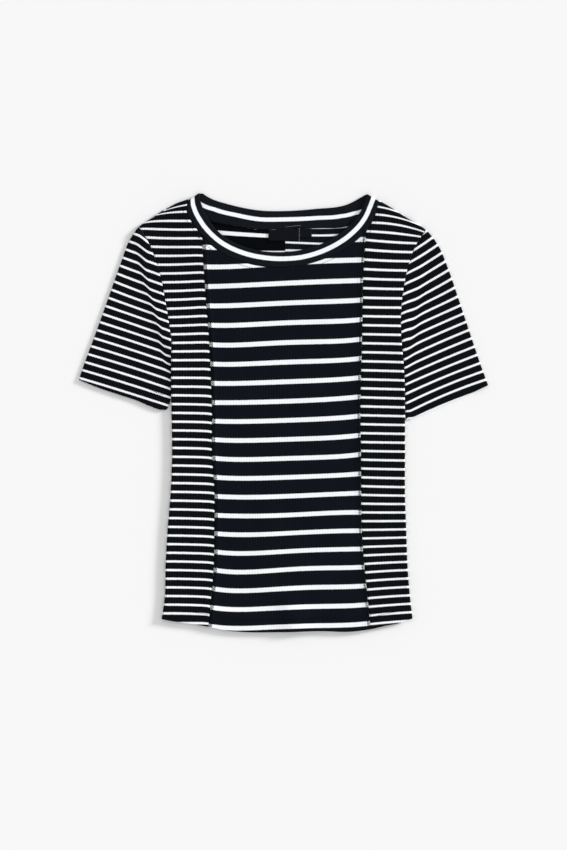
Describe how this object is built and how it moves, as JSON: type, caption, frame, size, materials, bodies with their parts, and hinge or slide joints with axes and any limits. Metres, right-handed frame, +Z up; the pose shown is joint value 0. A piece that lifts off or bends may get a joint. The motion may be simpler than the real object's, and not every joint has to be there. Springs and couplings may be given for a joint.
{
  "type": "t-shirt",
  "caption": "Fitted short-sleeved T-shirt in striped rib jersey, with a patchwork front and a doubled round neckband, lying flat on its back.",
  "frame": {"origin": "under the middle of the outline, on the surface that the shirt lies on", "axes": "+Z up out of the front, +Y towards the neck, the wearer's right at -X"},
  "size_m": [0.5406, 0.5796, 0.0062],
  "materials": {
    "rib_jersey": "matte fine rib knit, near-black with white stripes",
    "neckband_rib": "matte ribbed knit, near-black with one white stripe",
    "woven_tape": "smooth woven tape, near-black, bare"
  },
  "bodies": {
    "root": {"front_centre": "rib_jersey", "front_side_right": "rib_jersey", "front_side_left": "rib_jersey", "back_right": "rib_jersey", "back_left": "rib_jersey", "sleeve_right": "rib_jersey", "sleeve_left": "rib_jersey", "neckband": "neckband_rib", "neck_label": "woven_tape", "size_tab": "woven_tape"}
  },
  "joints": []
}
